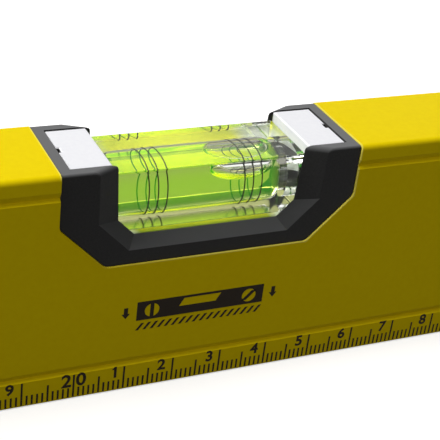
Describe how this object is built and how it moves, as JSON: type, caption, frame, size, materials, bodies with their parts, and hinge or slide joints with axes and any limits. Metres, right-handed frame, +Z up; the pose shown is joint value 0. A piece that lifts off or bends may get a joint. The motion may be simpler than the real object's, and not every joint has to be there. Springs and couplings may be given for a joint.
{
  "type": "magnetic spirit level",
  "caption": "Box-section magnetic spirit level with a block vial in its top edge, round plumb and 45 degree vials near the ends, a millimetre scale and magnets in its base.",
  "frame": {"origin": "centre of the base face, under the middle of the level", "axes": "+X along the level towards the 45 degree vial, +Z up from the base to the top edge, -Y towards the face that carries the printed scale"},
  "size_m": [0.45, 0.0206, 0.048],
  "materials": {
    "yellow_paint": "satin",
    "black_plastic": "satin",
    "cap_plastic": "satin",
    "white_plastic": "satin",
    "clear_acrylic": "gloss",
    "vial_fluid": "gloss",
    "plug_plastic": "gloss",
    "ring_print": "gloss",
    "magnet_metal": "satin"
  },
  "bodies": {
    "root": {"body_profile": "yellow_paint", "end_cap_left": "cap_plastic", "end_cap_right": "cap_plastic", "centre_frame": "black_plastic", "vial_block": "clear_acrylic", "vial_fluid": "vial_fluid", "vial_rings": "ring_print", "vial_plug": "plug_plastic", "reflector_base": "white_plastic", "reflector_left": "white_plastic", "reflector_right": "white_plastic", "plumb_housing_front": "black_plastic", "plumb_housing_back": "black_plastic", "plumb_vial_tube": "clear_acrylic", "plumb_vial_fluid": "vial_fluid", "plumb_vial_plug": "plug_plastic", "plumb_vial_rings": "ring_print", "angle_housing_front": "black_plastic", "angle_housing_back": "black_plastic", "angle_vial_tube": "clear_acrylic", "angle_vial_fluid": "vial_fluid", "angle_vial_plug": "plug_plastic", "angle_vial_rings": "ring_print", "magnet_1": "magnet_metal", "magnet_2": "magnet_metal", "magnet_3": "magnet_metal", "magnet_4": "magnet_metal"}
  },
  "joints": []
}
